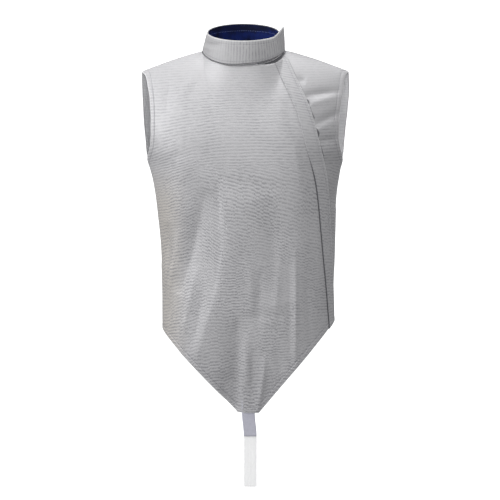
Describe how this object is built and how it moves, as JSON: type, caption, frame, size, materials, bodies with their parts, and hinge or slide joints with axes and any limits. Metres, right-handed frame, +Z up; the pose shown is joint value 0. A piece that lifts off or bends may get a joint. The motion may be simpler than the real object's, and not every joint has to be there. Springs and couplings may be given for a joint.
{
  "type": "fencing lame vest",
  "caption": "Sleeveless fencing overvest of silver conductive cloth, with a stand collar, a diagonal overlapping front, a V hem and a crotch strap, hollow as worn.",
  "frame": {"origin": "midway between the wearer's shoulders, in the plane of the shoulder and side seams, at the height where the shoulder seams are halfway out to the armholes", "axes": "+Z up, -Y out of the wearer's chest, +X towards the viewer's right in the picture, which is the wearer's left"},
  "size_m": [0.4036, 0.233, 0.8856],
  "materials": {
    "silver_cloth": "woven metallised yarn, soft silver sheen, fine crosswise ribs",
    "blue_lining": "dark blue plain weave, matt",
    "grey_webbing": "flat woven webbing, matt",
    "white_elastic": "flat woven elastic, matt"
  },
  "bodies": {
    "root": {"front_panel": "silver_cloth", "side_front_panel": "silver_cloth", "back_panel": "silver_cloth", "placket_band": "silver_cloth", "collar_shell": "silver_cloth", "collar_lining": "blue_lining", "strap_webbing": "grey_webbing", "strap_elastic": "white_elastic"}
  },
  "joints": []
}
